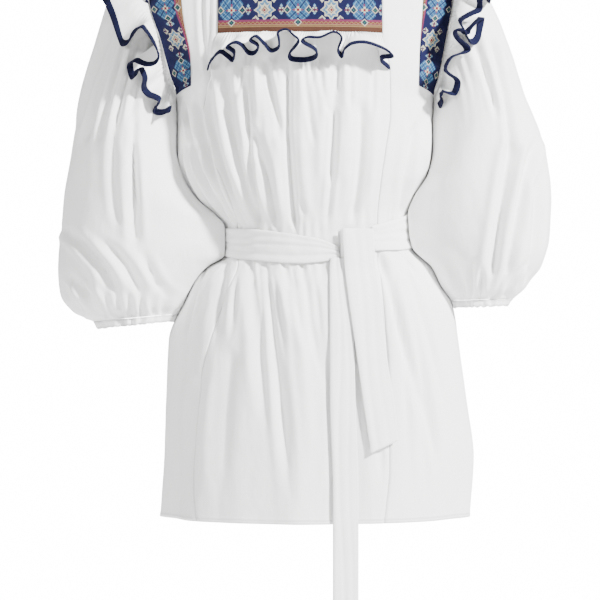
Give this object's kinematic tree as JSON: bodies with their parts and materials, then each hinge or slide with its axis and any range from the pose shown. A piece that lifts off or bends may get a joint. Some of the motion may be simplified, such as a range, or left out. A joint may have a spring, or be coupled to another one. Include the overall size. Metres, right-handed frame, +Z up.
{
  "type": "romanian ie blouse",
  "caption": "White belted tunic blouse with puff sleeves, woven folk ribbon at the square neck and shoulders, and navy-bound ruffles, hollow as worn.",
  "frame": {"origin": "on the shoulder line, midway between the two shoulder tips, where the wearer holds the garment up", "axes": "+Z up, -Y towards the front of the garment, +X to the right of someone facing the front"},
  "size_m": [0.7098, 0.315, 1.0077],
  "materials": {
    "front_centre": "white cotton poplin",
    "back_centre": "white cotton poplin",
    "side_front_left": "white cotton poplin",
    "side_back_left": "white cotton poplin",
    "side_front_right": "white cotton poplin",
    "side_back_right": "white cotton poplin",
    "neck_ribbon": "woven folk ribbon",
    "back_neck_band": "white cotton poplin",
    "shoulder_ribbon_left": "woven folk ribbon",
    "shoulder_ribbon_right": "woven folk ribbon",
    "sleeve_left": "white cotton poplin",
    "cuff_left": "white cotton poplin",
    "sleeve_right": "white cotton poplin",
    "cuff_right": "white cotton poplin",
    "chest_ruffle": "white cotton poplin",
    "chest_ruffle_binding": "navy bias binding",
    "shoulder_ruffle_left": "white cotton poplin",
    "shoulder_ruffle_binding_left": "navy bias binding",
    "shoulder_ruffle_right": "white cotton poplin",
    "shoulder_ruffle_binding_right": "navy bias binding",
    "belt_wrap": "white cotton poplin",
    "belt_knot": "white cotton poplin",
    "belt_tail_long": "white cotton poplin",
    "belt_tail_short": "white cotton poplin"
  },
  "bodies": {
    "root": {"front_centre": "front_centre", "back_centre": "back_centre", "side_front_left": "side_front_left", "side_back_left": "side_back_left", "side_front_right": "side_front_right", "side_back_right": "side_back_right", "neck_ribbon": "neck_ribbon", "back_neck_band": "back_neck_band", "shoulder_ribbon_left": "shoulder_ribbon_left", "shoulder_ribbon_right": "shoulder_ribbon_right", "sleeve_left": "sleeve_left", "cuff_left": "cuff_left", "sleeve_right": "sleeve_right", "cuff_right": "cuff_right", "chest_ruffle": "chest_ruffle", "chest_ruffle_binding": "chest_ruffle_binding", "shoulder_ruffle_left": "shoulder_ruffle_left", "shoulder_ruffle_binding_left": "shoulder_ruffle_binding_left", "shoulder_ruffle_right": "shoulder_ruffle_right", "shoulder_ruffle_binding_right": "shoulder_ruffle_binding_right", "belt_wrap": "belt_wrap", "belt_knot": "belt_knot", "belt_tail_long": "belt_tail_long", "belt_tail_short": "belt_tail_short"}
  },
  "joints": []
}
